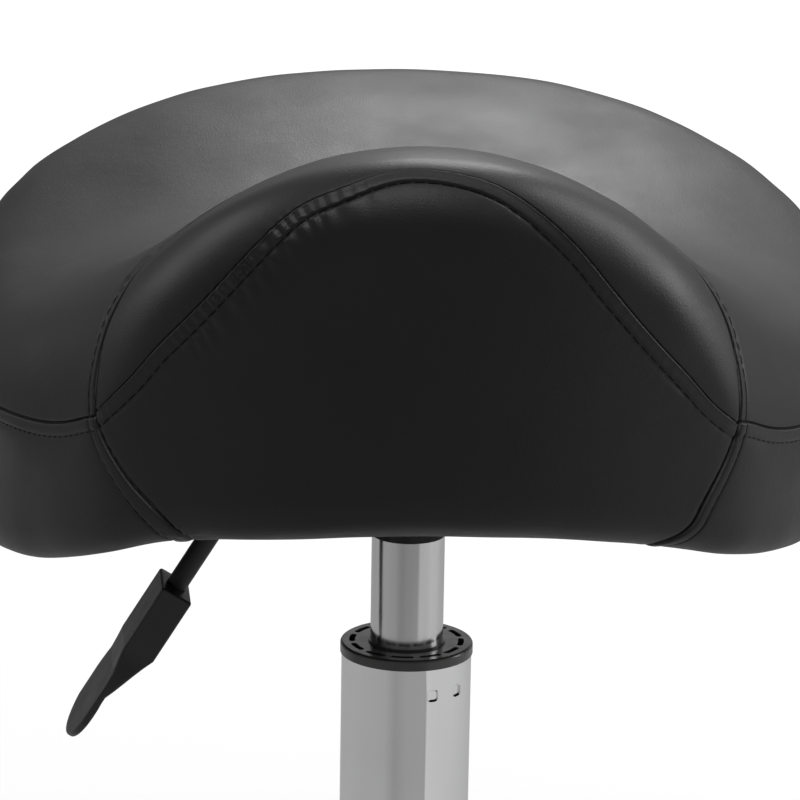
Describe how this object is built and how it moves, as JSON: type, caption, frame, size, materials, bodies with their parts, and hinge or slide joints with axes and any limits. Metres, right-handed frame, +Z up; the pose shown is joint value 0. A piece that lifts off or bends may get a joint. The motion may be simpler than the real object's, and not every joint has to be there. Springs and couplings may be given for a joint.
{
  "type": "rolling saddle stool",
  "caption": "Height-adjustable saddle stool with a padded leather-covered seat on a gas lift, a side lever, a star base and swivelling twin-wheel casters.",
  "frame": {"origin": "on the floor, under the column's axis, with the stool at its lowest setting", "axes": "+Z up along the column; -Y towards the seat's front, where the pommel is; +X to the right seen from the front; the lever is on the -X side"},
  "size_m": [0.553, 0.526, 0.5576],
  "materials": {
    "black_leather": "soft upholstery grain with a satin sheen",
    "foam": "open-cell moulded foam",
    "plywood": "sanded, with its plies showing at the edge",
    "dust_cloth": "non-woven cloth",
    "zinc_steel": "bright zinc plate",
    "black_steel": "satin black powder coat",
    "chrome_tube": "mirror chrome",
    "polished_steel": "ground and hard-chromed",
    "bearing_steel": "ground",
    "black_phosphate": "dark phosphate",
    "brass_valve": "turned",
    "black_nylon": "fine moulded texture",
    "black_acetal": "smooth moulded",
    "wheel_nylon": "moulded, with a worn tread",
    "black_rubber": "moulded",
    "polished_aluminium": "polished casting"
  },
  "bodies": {
    "base": {"star_base": "polished_aluminium", "column_tube": "chrome_tube", "guide_bush": "black_acetal", "thrust_washer_lower": "bearing_steel", "bearing_balls": "bearing_steel", "ball_cage": "brass_valve", "caster_stems": "zinc_steel", "stem_grip_rings": "zinc_steel"},
    "piston_assembly": {"piston_rod": "polished_steel", "piston": "brass_valve", "piston_seal": "black_rubber", "thrust_washer_upper": "bearing_steel", "rubber_buffer": "black_rubber", "rod_clip": "zinc_steel"},
    "seat": {"gas_cylinder": "polished_steel", "gas_chamber": "bearing_steel", "rod_gland": "black_acetal", "rod_seal": "black_rubber", "taper_cone": "black_phosphate", "valve_body": "brass_valve", "mounting_plate": "black_steel", "plate_washers": "zinc_steel", "plate_bolts": "zinc_steel", "lever_pivot_pin": "zinc_steel", "pivot_clip": "zinc_steel", "seat_board": "plywood", "tee_nuts": "zinc_steel", "dust_cover": "dust_cloth", "seat_foam": "foam", "seat_cover": "black_leather"},
    "lever": {"lever_rod": "black_steel", "lever_handle": "black_nylon"},
    "valve_button": {"valve_pin": "zinc_steel"},
    "caster_1": {"caster_1_hood": "black_nylon", "caster_1_axle": "zinc_steel"},
    "caster_1_wheel_a_body": {"caster_1_wheel_a": "wheel_nylon"},
    "caster_1_wheel_b_body": {"caster_1_wheel_b": "wheel_nylon"},
    "caster_2": {"caster_2_hood": "black_nylon", "caster_2_axle": "zinc_steel"},
    "caster_2_wheel_a_body": {"caster_2_wheel_a": "wheel_nylon"},
    "caster_2_wheel_b_body": {"caster_2_wheel_b": "wheel_nylon"},
    "caster_3": {"caster_3_hood": "black_nylon", "caster_3_axle": "zinc_steel"},
    "caster_3_wheel_a_body": {"caster_3_wheel_a": "wheel_nylon"},
    "caster_3_wheel_b_body": {"caster_3_wheel_b": "wheel_nylon"},
    "caster_4": {"caster_4_hood": "black_nylon", "caster_4_axle": "zinc_steel"},
    "caster_4_wheel_a_body": {"caster_4_wheel_a": "wheel_nylon"},
    "caster_4_wheel_b_body": {"caster_4_wheel_b": "wheel_nylon"},
    "caster_5": {"caster_5_hood": "black_nylon", "caster_5_axle": "zinc_steel"},
    "caster_5_wheel_a_body": {"caster_5_wheel_a": "wheel_nylon"},
    "caster_5_wheel_b_body": {"caster_5_wheel_b": "wheel_nylon"}
  },
  "joints": [
    {"name": "seat_swivel", "type": "hinge", "parent": "base", "child": "piston_assembly", "pos_m": [0, 0, 0.0688], "axis": [0, 0, 1], "continuous": true},
    {"name": "seat_height", "type": "slide", "parent": "piston_assembly", "child": "seat", "axis": [0, 0, 1], "range_m": [0, 0.15]},
    {"name": "lever_tilt", "type": "hinge", "parent": "seat", "child": "lever", "pos_m": [-0.036, 0, 0.42655], "axis": [0, 1, 0], "range_deg": [0, 5], "stiffness_Nm_per_rad": 2, "springref_deg": -8.59},
    {"name": "valve_press", "type": "slide", "parent": "seat", "child": "valve_button", "axis": [0, 0, -1], "range_m": [0, 0.0036]},
    {"name": "caster_1_swivel", "type": "hinge", "parent": "base", "child": "caster_1", "pos_m": [0, -0.235, 0.0608], "axis": [0, 0, 1], "continuous": true},
    {"name": "caster_1_wheel_a_roll", "type": "hinge", "parent": "caster_1", "child": "caster_1_wheel_a_body", "pos_m": [0, -0.255, 0.025], "axis": [1, 0, 0], "continuous": true},
    {"name": "caster_1_wheel_b_roll", "type": "hinge", "parent": "caster_1", "child": "caster_1_wheel_b_body", "pos_m": [0, -0.255, 0.025], "axis": [1, 0, 0], "continuous": true},
    {"name": "caster_2_swivel", "type": "hinge", "parent": "base", "child": "caster_2", "pos_m": [0.2235, -0.07262, 0.0608], "axis": [0, 0, 1], "continuous": true},
    {"name": "caster_2_wheel_a_roll", "type": "hinge", "parent": "caster_2", "child": "caster_2_wheel_a_body", "pos_m": [0.24252, -0.0788, 0.025], "axis": [0.309, 0.9511, 0], "continuous": true},
    {"name": "caster_2_wheel_b_roll", "type": "hinge", "parent": "caster_2", "child": "caster_2_wheel_b_body", "pos_m": [0.24252, -0.0788, 0.025], "axis": [0.309, 0.9511, 0], "continuous": true},
    {"name": "caster_3_swivel", "type": "hinge", "parent": "base", "child": "caster_3", "pos_m": [0.13813, 0.19012, 0.0608], "axis": [0, 0, 1], "continuous": true},
    {"name": "caster_3_wheel_a_roll", "type": "hinge", "parent": "caster_3", "child": "caster_3_wheel_a_body", "pos_m": [0.14988, 0.2063, 0.025], "axis": [-0.809, 0.5878, 0], "continuous": true},
    {"name": "caster_3_wheel_b_roll", "type": "hinge", "parent": "caster_3", "child": "caster_3_wheel_b_body", "pos_m": [0.14988, 0.2063, 0.025], "axis": [-0.809, 0.5878, 0], "continuous": true},
    {"name": "caster_4_swivel", "type": "hinge", "parent": "base", "child": "caster_4", "pos_m": [-0.13813, 0.19012, 0.0608], "axis": [0, 0, 1], "continuous": true},
    {"name": "caster_4_wheel_a_roll", "type": "hinge", "parent": "caster_4", "child": "caster_4_wheel_a_body", "pos_m": [-0.14988, 0.2063, 0.025], "axis": [-0.809, -0.5878, 0], "continuous": true},
    {"name": "caster_4_wheel_b_roll", "type": "hinge", "parent": "caster_4", "child": "caster_4_wheel_b_body", "pos_m": [-0.14988, 0.2063, 0.025], "axis": [-0.809, -0.5878, 0], "continuous": true},
    {"name": "caster_5_swivel", "type": "hinge", "parent": "base", "child": "caster_5", "pos_m": [-0.2235, -0.07262, 0.0608], "axis": [0, 0, 1], "continuous": true},
    {"name": "caster_5_wheel_a_roll", "type": "hinge", "parent": "caster_5", "child": "caster_5_wheel_a_body", "pos_m": [-0.24252, -0.0788, 0.025], "axis": [0.309, -0.9511, 0], "continuous": true},
    {"name": "caster_5_wheel_b_roll", "type": "hinge", "parent": "caster_5", "child": "caster_5_wheel_b_body", "pos_m": [-0.24252, -0.0788, 0.025], "axis": [0.309, -0.9511, 0], "continuous": true}
  ],
  "couplings": [
    {"joint": "valve_press", "follows": "lever_tilt", "m_per_rad": 0.039}
  ]
}
